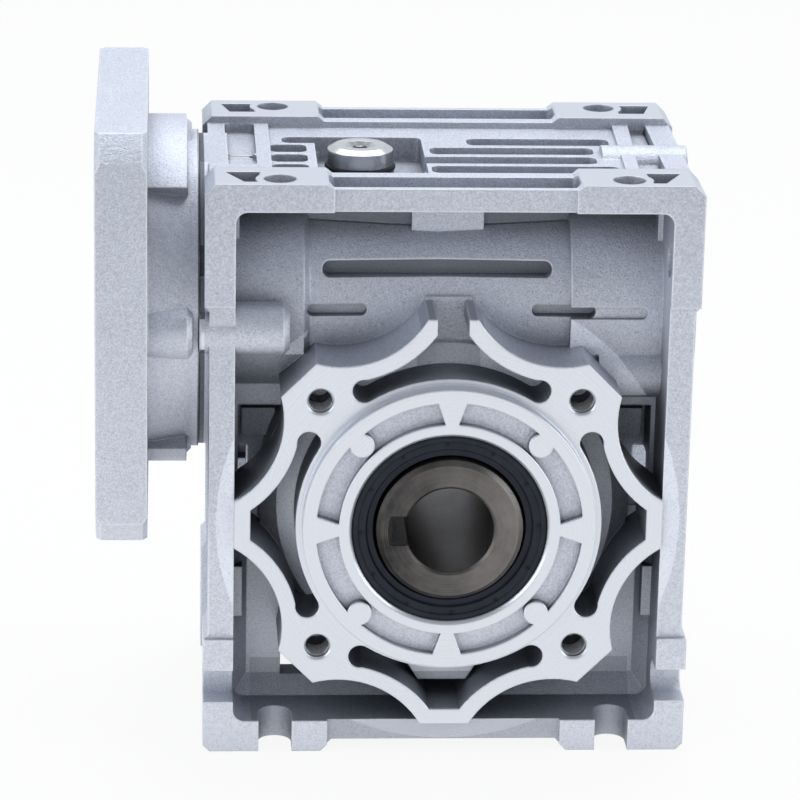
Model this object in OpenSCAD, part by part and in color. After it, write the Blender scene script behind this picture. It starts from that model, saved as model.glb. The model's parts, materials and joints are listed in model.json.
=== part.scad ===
// Right-angle worm gear reducer with a hollow output shaft and a square motor flange.
// Origin: middle of the output shaft. X runs along the worm, Y along the output shaft, Z up.

/* [Gearing] */
// Axial module of the worm and the wheel
gear_module = 2; // [1.9:0.02:2]
// Teeth on the worm wheel, which is the ratio with a single start worm
wheel_teeth = 30; // [28:1:30]
// Pitch diameter of the worm
worm_pitch_d = 20; // [19:0.5:21]
// Pressure angle
pressure_angle = 20; // [18:0.5:22]
// Play between worm thread and wheel teeth, along the worm
tooth_play = 0.36; // [0.3:0.02:0.5]
// Clearance between a tooth tip and the root it runs in
tip_clearance = 0.4; // [0.3:0.05:0.5]
// Face width of the bronze wheel rim
wheel_width = 18; // [16:0.5:18]
// Length of the worm thread
thread_len = 34; // [30:1:36]
// Thickness of bronze under the wheel teeth
rim_under_teeth = 3.2; // [2.5:0.1:4]

/* [Housing] */
// Width of the housing along the worm
body_w = 100; // [98:0.5:104]
// Height of the output axis above the feet
axis_height = 50; // [48:0.5:54]
// Height of the top pads above the worm axis
top_height = 31.5; // [30.5:0.5:34]
// Distance between the two machined output faces
face_depth = 71; // [71:0.5:74]
// How far the machined faces stand proud of the cast frames
face_proud = 0.5; // [0.3:0.1:1]
// Depth of each frame along the output axis
rail_depth = 14; // [12:0.5:15]
// Length of each corner pad
pad_len = 24.4; // [22:0.2:26]
// Height of the top pads above the top rail
pad_top = 1.1; // [0.8:0.1:1.6]
// Height of the side pads above the side rails
pad_side = 1; // [0.6:0.1:1.4]
// Height of the feet below the bottom rail
pad_foot = 2.3; // [1.5:0.1:3]
// Setback of the rail fronts between the pads
rail_setback = 1; // [0.5:0.1:1.4]
// Thickness of the side rails
side_rail_t = 5.2; // [4.5:0.1:6]
// Thickness of the top rail
top_rail_t = 4.6; // [4:0.1:5.5]
// Thickness of the bottom rail
foot_rail_t = 4.4; // [4:0.1:5]
// Corner radius of the frame openings
opening_r = 2.4; // [1.5:0.1:4]
// Distance from the middle plane to the floor of the front and back recesses
web_half = 17.6; // [17:0.1:19]
// Wall of the gear chamber
chamber_wall = 4; // [3.5:0.1:4.5]
// Outer radius of the tube round the worm, in the middle
tube_r = 20.4; // [20:0.1:21]
// Draft of the worm tube from its middle to its ends
tube_draft = 1.2; // [0.8:0.1:1.4]
// Outer radius of the tube ends round the bearings
tube_end_r = 23.4; // [23.2:0.1:24.5]
// Gap between the wheel and the chamber
chamber_gap = 1; // [0.8:0.1:1.2]

/* [Cooling fins on top] */
// Height of the fin tops below the pads
fin_drop = 1.4; // [1.2:0.1:2]
// Depth of the grooves between the fins
groove_depth = 3.2; // [2.6:0.1:3.4]
// Height of the end ribs above the fins
rib_rise = 0.9; // [0.5:0.1:1.2]
// Thickness of the fins
fin_t = 2; // [1.4:0.1:2.4]
// Distance from one fin to the next
fin_pitch = 7.5; // [7.2:0.1:7.7]

/* [Output faces] */
// Distance from the output axis to the middle of each scallop
lobe_waist = 38.3; // [37.8:0.1:39]
// Radius of the concave scallops between the lobes
scallop_r = 20; // [18:0.5:22]
// Thickness of the curved arms
arm_t = 3.3; // [2.8:0.1:3.6]
// Width of the gap between the two upper arms
arm_gap = 6.4; // [5:0.2:8]
// Half angle of the windows between ring and arms
window_half_angle = 31.6; // [29:0.2:32]
// Pilot diameter
pilot_d = 60; // [58:0.5:61]
// Height of the pilot above the face
pilot_h = 3; // [2.5:0.1:3.5]
// Radius of the neck behind the pilot
neck_r = 31.3; // [31:0.1:32]
// Bolt circle diameter
bolt_circle_d = 75; // [75:0.5:76]
// Core diameter of the tapped bolt holes on the front face
bolt_core_d = 5; // [4.7:0.1:5.2]
// Core diameter of the tapped bolt holes in the side cover
cover_core_d = 5.5; // [5.4:0.1:5.6]
// Depth of the tapped bolt holes
bolt_depth = 12; // [10:0.5:14]
// Depth of the cast pockets in the pilot face
ring_pocket_depth = 1.8; // [1.2:0.1:2.2]

/* [Mounting holes] */
// Spacing of the mounting holes along the worm
mount_dx = 70; // [68:0.5:72]
// Spacing of the mounting holes along the output axis
mount_dy = 60; // [59:0.5:61]
// Diameter of the mounting holes
mount_hole_d = 6.6; // [6:0.1:7]
// Width of the open slots in the feet
foot_slot_w = 6.9; // [6.4:0.1:7.2]
// Height of the upper side holes above the output axis
side_hole_z = 54.6; // [53:0.2:56]
// Distance of the lower side slots below the output axis
side_slot_drop = 35.5; // [34:0.5:37]

/* [Output shaft] */
// Length of the hollow shaft
shaft_len = 78; // [78:0.5:80]
// Outer diameter of the hollow shaft
shaft_d = 30; // [29.5:0.1:30.5]
// Bore of the hollow shaft
bore_d = 18; // [16:0.5:20]
// Width of the output keyway
key_w = 6; // [5:0.5:6]
// Depth of the output keyway beyond the bore
key_depth = 2.8; // [2.3:0.1:3]
// Outer diameter of the output bearings
out_bearing_d = 55; // [54.5:0.1:55.5]
// Width of the output bearings
out_bearing_w = 13; // [12.5:0.1:13.2]
// Outer diameter of the output seals
seal_d = 40; // [39:0.5:41]
// Width of the output seals
seal_w = 7; // [6.5:0.1:7]

/* [Worm shaft] */
// Outer diameter of the worm bearings
worm_bearing_d = 42; // [41.5:0.1:42]
// Height of the front worm bearing from its bore to its outer diameter
front_section = 8.5; // [8.4:0.1:8.7]
// Width of the front worm bearing
front_bearing_w = 9; // [8.5:0.1:9]
// Height of the rear worm bearing from its bore to its outer diameter
rear_section = 11; // [10.8:0.1:11.2]
// Width of the rear worm bearing
rear_bearing_w = 12; // [11.5:0.1:12]
// Bore for the motor shaft
input_bore_d = 14; // [12:0.5:15]
// Depth of the input bore
input_bore_len = 27; // [25:0.5:30]
// Width of the input keyway
input_key_w = 5; // [4:0.5:5]
// Depth of the input keyway beyond the bore
input_key_depth = 2.3; // [1.8:0.1:2.4]
// Width of the circlips
circlip_t = 1.75; // [1.6:0.05:1.8]
// Width of the input seal
input_seal_w = 7; // [6.5:0.1:7]
// Width of the end cap
end_cap_w = 4.4; // [4:0.1:4.4]

/* [Input flange] */
// Side length of the square flange
flange_w = 85; // [84:0.5:90]
// Thickness of the square plate
plate_t = 10.4; // [9:0.1:12]
// Length of the hub behind the plate
hub_len = 10.4; // [10:0.1:12]
// Hub diameter at the plate
hub_root_d = 69; // [68:0.5:71]
// Hub diameter at the housing
hub_end_d = 66; // [65.5:0.5:67.5]
// Diameter of the turned corners of the plate
corner_d = 113; // [111:0.5:116]
// Motor pilot diameter
motor_pilot_d = 73; // [70:0.5:74]
// Depth of the motor pilot
motor_pilot_depth = 3; // [2.5:0.1:4]
// Spacing of the motor screws
motor_hole_pitch = 69.6; // [69:0.1:72]
// Core diameter of the motor screw holes
motor_hole_d = 5; // [4.5:0.1:5.5]
// Radius at which the flange screws sit round the worm axis
flange_screw_r = 26.2; // [26:0.1:26.4]
// Distance of the screw boss middles on the hub from the worm axis
flange_boss_place = 30.2; // [29.8:0.1:30.4]
// Radius of the screw bosses on the flange hub
flange_boss_r = 6; // [5.8:0.1:6.4]
// Half angle of the wide pads on the top and bottom of the hub
hub_pad_angle = 40; // [38:1:42]
// Bore of the flange in front of the screw heads
flange_bore_d = 56; // [55:0.5:57]
// Length of the turned end of the flange hub
hub_turned_len = 1.4; // [1:0.1:2]
// Gap between the end of the hub bosses and the housing
boss_end_gap = 1.4; // [1:0.1:2]
// Chamfer of the flange edges
flange_chamfer = 1; // [0.6:0.1:1.4]

/* [Small parts] */
// Diameter of the oil plug head
plug_d = 13.6; // [13:0.1:14.5]
// Height of the oil plug head
plug_h = 3.9; // [3.4:0.1:4.2]
// Thickness of the plug O-ring
plug_ring_t = 1.3; // [1:0.1:1.5]
// Length of the plug thread under the head
plug_shank_len = 8; // [7:0.5:9]
// Thread diameter of the plug
plug_shank_d = 9.1; // [8.6:0.1:9.4]
// Half width across the corners of the hexagon socket
plug_hex_r = 2.4; // [2.2:0.1:2.6]
// Depth of the hexagon socket
plug_hex_depth = 5.9; // [5:0.1:6.5]
// Width of the chamfer round the plug head
plug_chamfer = 1.4; // [1:0.1:1.6]
// Place of the oil plug along the worm
plug_x = -17.6; // [-19:0.2:-17]
// Thread diameter of the flange screws
flange_screw_d = 4; // [3.6:0.1:4.2]
// Length of the flange screws under the head
flange_screw_len = 16; // [14:0.5:18]
// Thread diameter of the cover screws
cover_screw_d = 4; // [3.6:0.1:4]
// Length of the cover screws under the head
cover_screw_len = 9.6; // [8.6:0.2:10]
// Running clearance between rolling and fixed parts
running_gap = 0.03; // [0.02:0.01:0.05]

/* [Hidden] */
$fn = 96;
cast_grey = [0.72, 0.74, 0.77];
dark_steel = [0.36, 0.34, 0.33];
bearing_steel = [0.78, 0.79, 0.80];
zinc = [0.75, 0.78, 0.80];
bronze = [0.72, 0.50, 0.22];
black_rubber = [0.07, 0.07, 0.09];

wheel_pitch_r = gear_module * wheel_teeth / 2;
worm_z = wheel_pitch_r + worm_pitch_d / 2;
lead = PI * gear_module;
lead_angle = atan(lead / (PI * worm_pitch_d));
worm_tip_r = worm_pitch_d / 2 + gear_module;
worm_root_r = worm_pitch_d / 2 - gear_module - tip_clearance;
wheel_tip_r = wheel_pitch_r + gear_module;
wheel_root_r = wheel_pitch_r - gear_module - tip_clearance;
wheel_outer_r = wheel_tip_r + 0.75 * gear_module;
rim_inner_r = wheel_root_r - rim_under_teeth;

top_z = worm_z + top_height;
foot_z = -axis_height;
half_w = body_w / 2;
rail_half_w = half_w - pad_side;
rail_top_z = top_z - pad_top;
rail_foot_z = foot_z + pad_foot;
opening_half_w = rail_half_w - side_rail_t;
opening_top_z = rail_top_z - top_rail_t;
opening_foot_z = rail_foot_z + foot_rail_t;
face_y = face_depth / 2;
frame_y = face_y - face_proud;
rail_back_y = frame_y - rail_depth;
pilot_y = face_y + pilot_h;

rib_x = 39.2;
chamber_r = wheel_outer_r + chamber_gap;
drum_r = chamber_r + chamber_wall;
out_bearing_y = 17;
chamber_half = out_bearing_y - 3.2;
seat_step = 0.2;
seat_end_y = out_bearing_y + out_bearing_w + seat_step;
seal_gap = 0.6;
seal_y = pilot_y - seal_gap - seal_w;
cover_t = 6.5;
cover_y = face_y - cover_t;

flat_reach = opening_half_w;
window_circle_r = scallop_r + arm_t;
scallop_centre_r = lobe_waist + scallop_r;
window_tilt = window_half_angle - 22.5;
window_edge_r = scallop_centre_r * cos(window_tilt)
    - sqrt(pow(window_circle_r, 2) - pow(scallop_centre_r * sin(window_tilt), 2));

input_face_x = -half_w - 1;
register_h = 2;
register_r = worm_bearing_d / 2 + 2.2;
register_x = input_face_x - register_h;
input_seal_x = register_x + 0.4;
front_clip_x = input_seal_x + input_seal_w + 0.2;
front_bearing_x = front_clip_x + circlip_t;
front_seat_x = front_bearing_x + front_bearing_w;
end_cap_x = half_w - 0.2 - end_cap_w;
rear_clip_x = end_cap_x - 0.2 - circlip_t;
rear_seat_x = rear_clip_x - rear_bearing_w;
worm_neck_d = worm_bearing_d - 2 * front_section;
worm_tail_d = worm_bearing_d - 2 * rear_section;
worm_shoulder_h = 1.8;
worm_bore_r = max(worm_tip_r + 2.6, worm_neck_d / 2 + worm_shoulder_h + 1);
motor_face_x = input_face_x - hub_len - plate_t;
plate_back_x = motor_face_x + plate_t;
worm_end_x = register_x - 3;
screw_floor_x = input_face_x - 5.4;
cover_screw_places = chamber_r + 4.5;

rib_top_z = top_z - fin_drop;
fin_top_z = rib_top_z - rib_rise;
groove_z = fin_top_z - groove_depth;
deck_z = opening_top_z - 0.8;
plug_floor_z = deck_z - 0.8;
plug_seat_z = rib_top_z + 0.8 - plug_h - plug_ring_t;
recess_top_z = plug_floor_z - 1.6;
out_ball_d = 0.2858 * (out_bearing_d - shaft_d);
front_ball_d = 0.5602 * front_section;
rear_ball_d = 0.5772 * rear_section;

// Builders: extrusions and rods along each axis

module along_y(y, len) {
    translate([0, y + len, 0]) rotate([90, 0, 0]) linear_extrude(len) children();
}

module along_x(x, len) {
    translate([x, 0, 0]) rotate([90, 0, 90]) linear_extrude(len) children();
}

module rod_y(y, len, r) {
    translate([0, y, 0]) rotate([-90, 0, 0]) cylinder(h = len, r = r);
}

module rod_x(x, len, r) {
    translate([x, 0, 0]) rotate([0, 90, 0]) cylinder(h = len, r = r);
}

module cone_y(y, len, r1, r2) {
    translate([0, y, 0]) rotate([-90, 0, 0]) cylinder(h = len, r1 = r1, r2 = r2);
}

module cone_x(x, len, r1, r2) {
    translate([x, 0, 0]) rotate([0, 90, 0]) cylinder(h = len, r1 = r1, r2 = r2);
}

module box(x0, x1, y0, y1, z0, z1) {
    translate([x0, y0, z0]) cube([x1 - x0, y1 - y0, z1 - z0]);
}

module round_rect(x0, x1, y0, y1, r) {
    translate([x0 + r, y0]) square([x1 - x0 - 2 * r, y1 - y0]);
    translate([x0, y0 + r]) square([x1 - x0, y1 - y0 - 2 * r]);
    for (x = [x0 + r, x1 - r], y = [y0 + r, y1 - r]) translate([x, y]) circle(r);
}

module mirror_copy(axis) {
    children();
    mirror(axis) children();
}

module four_ways(axis) {
    for (turn = [0:90:270]) rotate(turn * axis) children();
}

// Housing frames

// Half of the frame outline, from the middle of the feet to the middle of the top
function frame_half() = [
    [0, rail_foot_z], [half_w - pad_len - pad_foot, rail_foot_z],
    [half_w - pad_len, foot_z], [half_w - 1.4, foot_z], [half_w, foot_z + 1.4],
    [half_w, foot_z + pad_len], [rail_half_w, foot_z + pad_len + 1.6],
    [rail_half_w, top_z - pad_len - 2.2], [half_w, top_z - pad_len - 1],
    [half_w, top_z - 2], [half_w - 2, top_z],
    [half_w - pad_len, top_z], [half_w - pad_len - 1.4, rail_top_z], [0, rail_top_z]];

module frame_outline() {
    mirror_copy([1, 0]) polygon(frame_half());
}

module frame_opening() {
    round_rect(-opening_half_w, opening_half_w, opening_foot_z, opening_top_z, opening_r);
}

module pad_zones() {
    mirror_copy([1, 0]) {
        translate([half_w - pad_len - 1.4, top_z - pad_len - 1]) square([pad_len + 2, pad_len + 2]);
        translate([half_w - pad_len - 1.4, foot_z - 1]) square([pad_len + 2, pad_len + 1.4]);
    }
}

// One frame, behind the output face at -Y
module frame() {
    along_y(-frame_y + rail_setback, rail_depth - rail_setback) difference() {
        frame_outline();
        frame_opening();
    }
    along_y(-frame_y, rail_setback) difference() {
        intersection() {
            frame_outline();
            pad_zones();
        }
        frame_opening();
    }
}

// Lobed outline with straight flats every 45 degrees and scallops between them
module lobed_shape(reach, circle_r) {
    difference() {
        intersection() {
            square(2 * reach, center = true);
            rotate(45) square(2 * reach, center = true);
        }
        for (turn = [22.5:45:350]) rotate(turn) translate([scallop_centre_r, 0]) circle(circle_r);
    }
}

module face_window() {
    end_r = (window_edge_r - neck_r) / 2;
    difference() {
        intersection() {
            lobed_shape(flat_reach - arm_t, window_circle_r);
            polygon([[0, 0], [60, 60 * tan(window_half_angle)], [60, -60 * tan(window_half_angle)]]);
        }
        circle(neck_r);
    }
    for (side = [-1, 1]) rotate(side * window_half_angle) translate([neck_r + end_r, 0]) circle(end_r);
}

// The machined output face: scalloped outline, open arms at the top, four windows
module output_face_shape() {
    difference() {
        lobed_shape(flat_reach, scallop_r);
        for (turn = [0:90:270]) rotate(turn) face_window();
        translate([-arm_gap / 2, neck_r + 2]) square([arm_gap, flat_reach]);
    }
}

// Cast pockets in the face of the pilot ring
module ring_pockets() {
    inner = seal_d / 2 + 2.6;
    outer = pilot_d / 2 - 2.8;
    difference() {
        circle(outer);
        circle(inner);
        for (turn = [0:90:270]) rotate(turn)
            polygon([[inner - 1, -1], [outer + 1, -3.3], [outer + 1, 3.3], [inner - 1, 1]]);
        for (turn = [45:90:315]) rotate(turn) translate([outer - 1.6, 0]) circle(2.5);
    }
}

module tapped_bolt_holes(y, len, core_d) {
    for (turn = [45:90:315]) rotate([0, turn, 0]) translate([bolt_circle_d / 2, 0, 0]) {
        rod_y(y, len, core_d / 2);
        cone_y(y - 0.01, 0.4, core_d / 2 + 0.4, core_d / 2);
    }
}

// Castings between the frames

module top_deck() {
    back_y = rail_back_y + 1;
    box(-opening_half_w, opening_half_w, -back_y, back_y, deck_z, fin_top_z);
    box(-rail_half_w, -rib_x + 3, -back_y, back_y, deck_z, rib_top_z);
    box(rail_half_w - 5, rail_half_w, -back_y, back_y, deck_z, rib_top_z);
    translate([0, 0, deck_z]) linear_extrude(rib_top_z - deck_z)
        polygon([[35.7, -back_y], [38.2, -back_y], [40.3, back_y], [36.9, back_y]]);
}

module deck_boss() {
    translate([0, -0.6, rib_top_z - 4.7]) rod_x(32.4, half_w - 32.4, 5.6);
}

module top_pocket(x0, x1, y0, y1, floor_z, r = 1.6) {
    translate([0, 0, floor_z]) linear_extrude(20) round_rect(x0, x1, y0, y1, r);
}

function groove_far(i) = -10.7 + i * fin_pitch;

// Grooves that leave the cooling fins, the recess round the oil plug and the end pockets
module top_pockets() {
    fin_starts = [-3.6, -6.3, -3.1, 5.1];
    fin_ends = [35, 31, 31, 35];
    inner_y = rail_back_y - 0.2;
    for (i = [0:3]) {
        far_y = groove_far(i);
        top_pocket(fin_starts[i], fin_ends[i], far_y - fin_pitch + fin_t, far_y, groove_z);
    }
    for (far_y = [-9.8, -1.8, 6.2]) top_pocket(-rib_x + 3, -28.6, far_y - 6.1, far_y, groove_z);
    top_pocket(-26.8, -4.4, -11.4, 12.6, plug_floor_z);
    top_pocket(-26.8, -4.4, -inner_y + 1, -8, groove_z + 0.4);
    top_pocket(-33.6, -20, 7.6, 12.6, groove_z);
    top_pocket(-rib_x - 6.2, -rib_x, -5.7, inner_y, rib_top_z - 2);
    top_pocket(-rib_x - 6.2, -rib_x, -14, -5.2, rib_top_z - 1.2);
    translate([0, 0, rib_top_z - 2]) linear_extrude(20)
        polygon([[38.8, -inner_y], [43.9, -inner_y], [43.9, inner_y], [40.6, inner_y], [38.8, -inner_y + 2]]);
    for (side = [-1, 1]) top_pocket(-25.2, 25.2, side > 0 ? rail_back_y + 3.4 : -frame_y + 2.8,
        side > 0 ? frame_y - 2.8 : -rail_back_y - 3.4, rail_top_z - 2.8, 1.4);
}

// Pockets beside the top mounting holes
module pad_pockets() {
    hole_x = mount_dx / 2;
    hole_y = mount_dy / 2;
    for (side_x = [-1, 1], side_y = [-1, 1]) scale_side(side_x, 1)
        translate([0, 0, top_z - 3.4]) linear_extrude(5) difference() {
            translate([hole_x, side_y * hole_y]) polygon(side_y < 0
                ? [[10.9, 5.2], [3.9, 5.2], [4.6, -2.4], [7.2, -2.4]]
                : [[11, 2], [4.6, 2], [3.8, -4.9], [9.2, -4.9]]);
            translate([hole_x, side_y * hole_y]) circle(mount_hole_d / 2 + 1.6);
        }
}

module scale_side(side_x, side_y) {
    mirror([side_x < 0 ? 1 : 0, 0, 0]) mirror([0, side_y < 0 ? 1 : 0, 0]) children();
}

// Solid middle of the casting with the front and back recesses taken out
module core() {
    side_x = rail_half_w - 2.4;
    difference() {
        box(-side_x, side_x, -rail_back_y - 1, rail_back_y + 1, rail_foot_z + 2, opening_top_z);
        mirror_copy([0, 1, 0]) {
            along_y(-rail_back_y - 2, rail_back_y + 2 - web_half) frame_opening();
            box(-opening_half_w + 1, opening_half_w - 1, -web_half - 1, -11.6, worm_z - 1, recess_top_z);
            for (side = [-1, 1]) mirror([side < 0 ? 1 : 0, 0, 0])
                box(33, opening_half_w - 1, -web_half - 1, -8, -2, worm_z - 20);
        }
    }
    mirror_copy([0, 1, 0]) recess_borders();
}

// Sloping borders between the recess floor and the rails
module recess_borders() {
    slope = rail_back_y - web_half;
    floor_rise = 4;
    side_rise = 3;
    along_x(-opening_half_w, 2 * opening_half_w) polygon([[-web_half - slope, opening_foot_z],
        [-web_half, opening_foot_z + floor_rise], [-web_half + 1, opening_foot_z]]);
    mirror_copy([1, 0, 0]) translate([0, 0, opening_foot_z]) linear_extrude(38)
        polygon([[opening_half_w, -web_half - slope], [opening_half_w - side_rise, -web_half],
            [opening_half_w, -web_half + 1]]);
}

module worm_tube() {
    end_r = tube_r + tube_draft;
    translate([0, 0, worm_z]) {
        rod_x(-opening_half_w, opening_half_w - 29.6, tube_end_r);
        cone_x(-29.6, 1.2, tube_end_r, end_r);
        cone_x(-28.4, 26.4, end_r, tube_r);
        cone_x(-2, 26.9, tube_r, end_r);
        rod_x(24.9, opening_half_w - 24.9, tube_end_r);
        rod_x(opening_half_w, half_w - opening_half_w, tube_end_r + 4.6);
        rod_x(register_x, register_h + 1, register_r);
    }
    intersection() {
        translate([0, 0, worm_z]) rod_x(input_face_x, 6, hub_end_d / 2 - 0.5);
        box(input_face_x, 0, -frame_y, frame_y, 0, rib_top_z);
    }
    mirror_copy([0, 1, 0]) box(-7.4, 7.4, -12.8, 0, worm_z + 15, worm_z + 20.4);
}

// Screw bosses for the input flange, and the lower boss on the right
module screw_bosses() {
    boss_r = 5.4;
    boss_end_x = input_face_x + 17;
    translate([0, 0, worm_z]) for (side = [-1, 1]) translate([0, side * (flange_boss_place - 1.2), 0]) {
        rod_x(input_face_x, boss_end_x - input_face_x, boss_r);
        cone_x(boss_end_x, 1.2, boss_r, boss_r - 1.2);
    }
    mirror_copy([0, 1, 0]) translate([0, -18.6, worm_z - 12]) rod_x(31, opening_half_w - 31, 5.6);
}

// Gear chamber drum, bearing necks and the arms behind the output face
module drum() {
    rod_y(-web_half - 2, 2 * web_half + 4, drum_r);
    mirror_copy([0, 1, 0]) cone_y(-web_half - 7, 5, neck_r, drum_r);
    rod_y(-face_y, 2 * face_y - cover_t, neck_r);
    rod_y(-pilot_y, pilot_h + 1, pilot_d / 2);
}

module output_arms() {
    column_y = web_half + 4;
    along_y(-face_y, face_y - web_half + 1) output_face_shape();
    along_y(web_half - 1, cover_y - web_half + 1) lobed_shape(flat_reach, scallop_r);
    along_y(-column_y, column_y) intersection() {
        lobed_shape(worm_z + 4.5, scallop_r);
        translate([-12, neck_r]) square([24, 20]);
    }
    mirror_copy([0, 1, 0]) along_y(-web_half - 8, 9)
        polygon([[-9, -neck_r], [9, -neck_r], [5, -neck_r - 6.5], [-5, -neck_r - 6.5]]);
}

module housing_solid() {
    difference() {
        union() {
            mirror_copy([0, 1, 0]) frame();
            core();
            top_deck();
        }
        top_pockets();
    }
    deck_boss();
    worm_tube();
    screw_bosses();
    drum();
    output_arms();
    translate([plug_x, 0, plug_floor_z - 4])
        cylinder(h = plug_seat_z - plug_floor_z + 4, r = plug_d / 2 + 0.3);
    for (side = [-1, 1]) {
        box(side < 0 ? -42 : 35, side < 0 ? -35 : 42, -10.5, 10.5, 11, 17);
        mirror([side < 0 ? 1 : 0, 0, 0])
            mirror_copy([0, 1, 0]) box(41.8, opening_half_w, -rail_back_y - 1, -web_half, -25, -14);
    }
}

// Grooves and pockets that mark the casting from the front
module surface_marks() {
    mirror_copy([0, 1, 0]) {
        along_y(-tube_r - 6, 10.2) round_rect(-25.9, 21.1, worm_z + 8, worm_z + 11.2, 1.5);
        along_y(-tube_r - 6, 7.4) {
            round_rect(-29, -16.8, worm_z + 0.3, worm_z + 2.8, 1.2);
            round_rect(17, 30, worm_z + 0.3, worm_z + 2.8, 1.2);
        }
        along_y(-tube_end_r - 6, 6.9) round_rect(24, 40.6, worm_z + 0.3, worm_z + 2.8, 1.2);
        along_y(-web_half - 2, 8) translate([-33.6, -39.6]) square([4.6, 5.4]);
    }
}

// Recess under the chamber, open to the floor
module bottom_recess() {
    difference() {
        box(-38, 38, -12.6, 12.6, foot_z - 1, -18);
        rod_y(-20, 40, drum_r);
    }
}

module side_recesses() {
    for (side = [-1, 1]) mirror([side < 0 ? 1 : 0, 0, 0]) difference() {
        box(40.6, half_w + 1, -12.6, 12.6, foot_z + 9, 8);
        rod_y(-20, 40, drum_r);
    }
}

// Gear chamber, bearing seats, seal bores and pilot pockets along the output axis
module output_bores() {
    rod_y(-chamber_half, chamber_half + face_y, chamber_r);
    rod_y(-seat_end_y, 20, out_bearing_d / 2);
    rod_y(-pilot_y, 20, seal_d / 2 - 2.5);
    rod_y(-pilot_y - 1, seal_w + seal_gap + 1, seal_d / 2);
    cone_y(-pilot_y - 0.01, 0.6, seal_d / 2 + 0.6, seal_d / 2);
    along_y(-pilot_y - 1, 1 + ring_pocket_depth) ring_pockets();
}

// Bore for the worm with its bearing seats and circlip grooves
module worm_bores() {
    translate([0, 0, worm_z]) {
        rod_x(register_x - 1, body_w + 10, worm_bore_r);
        rod_x(register_x - 1, front_seat_x - register_x + 1, worm_bearing_d / 2);
        rod_x(rear_seat_x, half_w + 2 - rear_seat_x, worm_bearing_d / 2);
        rod_x(front_clip_x, circlip_t, worm_bearing_d / 2 + 1);
        rod_x(rear_clip_x, circlip_t, worm_bearing_d / 2 + 1);
    }
}

module screw_holes() {
    tapped_bolt_holes(-face_y, bolt_depth, bolt_core_d);
    mirror([0, 1, 0]) tapped_bolt_holes(-cover_y, bolt_depth - cover_t, cover_core_d);
    translate([0, 0, worm_z]) four_ways([1, 0, 0]) translate([0, flange_screw_r, 0])
        rod_x(input_face_x - 1, 15, flange_screw_d / 2);
    four_ways([0, 1, 0]) translate([cover_screw_places, 0, 0])
        rod_y(cover_y - 9, 10, cover_screw_d / 2);
    translate([plug_x, 0, worm_z]) cylinder(h = 40, r = plug_shank_d / 2 + 0.05);
}

module mounting_holes() {
    slot_r = foot_slot_w / 2;
    for (side_x = [-1, 1], side_y = [-1, 1]) scale_side(side_x, side_y) {
        translate([mount_dx / 2, mount_dy / 2, rail_top_z - top_rail_t - 1])
            cylinder(h = 12, r = mount_hole_d / 2);
        translate([mount_dx / 2, mount_dy / 2, foot_z - 1]) cylinder(h = 8.2, r = slot_r);
        box(mount_dx / 2 - slot_r, mount_dx / 2 + slot_r, mount_dy / 2, face_y, foot_z - 1, foot_z + 7.2);
        translate([0, mount_dy / 2, side_hole_z]) rod_x(opening_half_w - 1, 10, mount_hole_d / 2);
        translate([0, mount_dy / 2, -side_slot_drop]) rod_x(opening_half_w - 1, 10, slot_r);
        box(opening_half_w - 1, half_w + 1, mount_dy / 2, face_y,
            -side_slot_drop - slot_r, -side_slot_drop + slot_r);
    }
    pad_pockets();
}

module housing() {
    color(cast_grey) difference() {
        housing_solid();
        surface_marks();
        bottom_recess();
        side_recesses();
        output_bores();
        worm_bores();
        screw_holes();
        mounting_holes();
    }
}

// Side cover on the back, with the same face as the front

spigot_len = 5;
oring_wire_r = 0.85;
oring_setback = 1;
oring_groove_w = 2.2;
oring_groove_depth = 1.9;
oring_squeeze = 0.1;

module side_cover() {
    spigot_r = chamber_r - running_gap;
    color(cast_grey) difference() {
        union() {
            along_y(cover_y, cover_t) lobed_shape(flat_reach - 0.3, scallop_r + 0.3);
            rod_y(cover_y - spigot_len, spigot_len + 1, spigot_r);
            rod_y(out_bearing_y + 0.4, cover_y - out_bearing_y, out_bearing_d / 2 + 3.6);
            rod_y(cover_y, pilot_y - cover_y, pilot_d / 2);
        }
        rod_y(0, seat_end_y + 0.6, out_bearing_d / 2);
        rod_y(seal_y, 20, seal_d / 2);
        rod_y(0, pilot_y, seal_d / 2 - 2.5);
        cone_y(pilot_y - 0.59, 0.6, seal_d / 2, seal_d / 2 + 0.6);
        along_y(pilot_y - ring_pocket_depth, ring_pocket_depth + 1) ring_pockets();
        mirror([0, 1, 0]) tapped_bolt_holes(-face_y, cover_t + 1, cover_core_d);
        rod_y_ring(cover_y - oring_setback - oring_groove_w, oring_groove_w,
            spigot_r - oring_groove_depth, spigot_r + 1);
        four_ways([0, 1, 0]) translate([cover_screw_places, 0, 0]) {
            rod_y(cover_y - 1, 10, cover_screw_d / 2 + 0.25);
            rod_y(face_y - 4.4, 10, cover_screw_d * 0.875 + 0.3);
        }
    }
}

module rod_y_ring(y, len, r1, r2) {
    difference() {
        rod_y(y, len, r2);
        rod_y(y - 1, len + 2, r1);
    }
}

module side_cover_oring() {
    color(black_rubber) translate([0, cover_y - oring_setback - oring_groove_w / 2, 0]) rotate([90, 0, 0])
        rotate_extrude() translate([chamber_r - oring_wire_r - oring_squeeze, 0])
            circle(oring_wire_r, $fn = 32);
}

// Socket head screw, head up, seated at z = 0
module cap_screw(d, len) {
    difference() {
        union() {
            cylinder(h = d, r = d * 0.85);
            translate([0, 0, -len]) cylinder(h = len + 0.1, r = d / 2);
        }
        translate([0, 0, d / 2]) cylinder(h = d, r = d * 0.48, $fn = 6);
    }
}

module side_cover_screws() {
    color(zinc) four_ways([0, 1, 0]) translate([cover_screw_places, face_y - 4.4, 0])
        rotate([-90, 0, 0]) cap_screw(cover_screw_d - 0.05, cover_screw_len);
}

// Input flange

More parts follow.
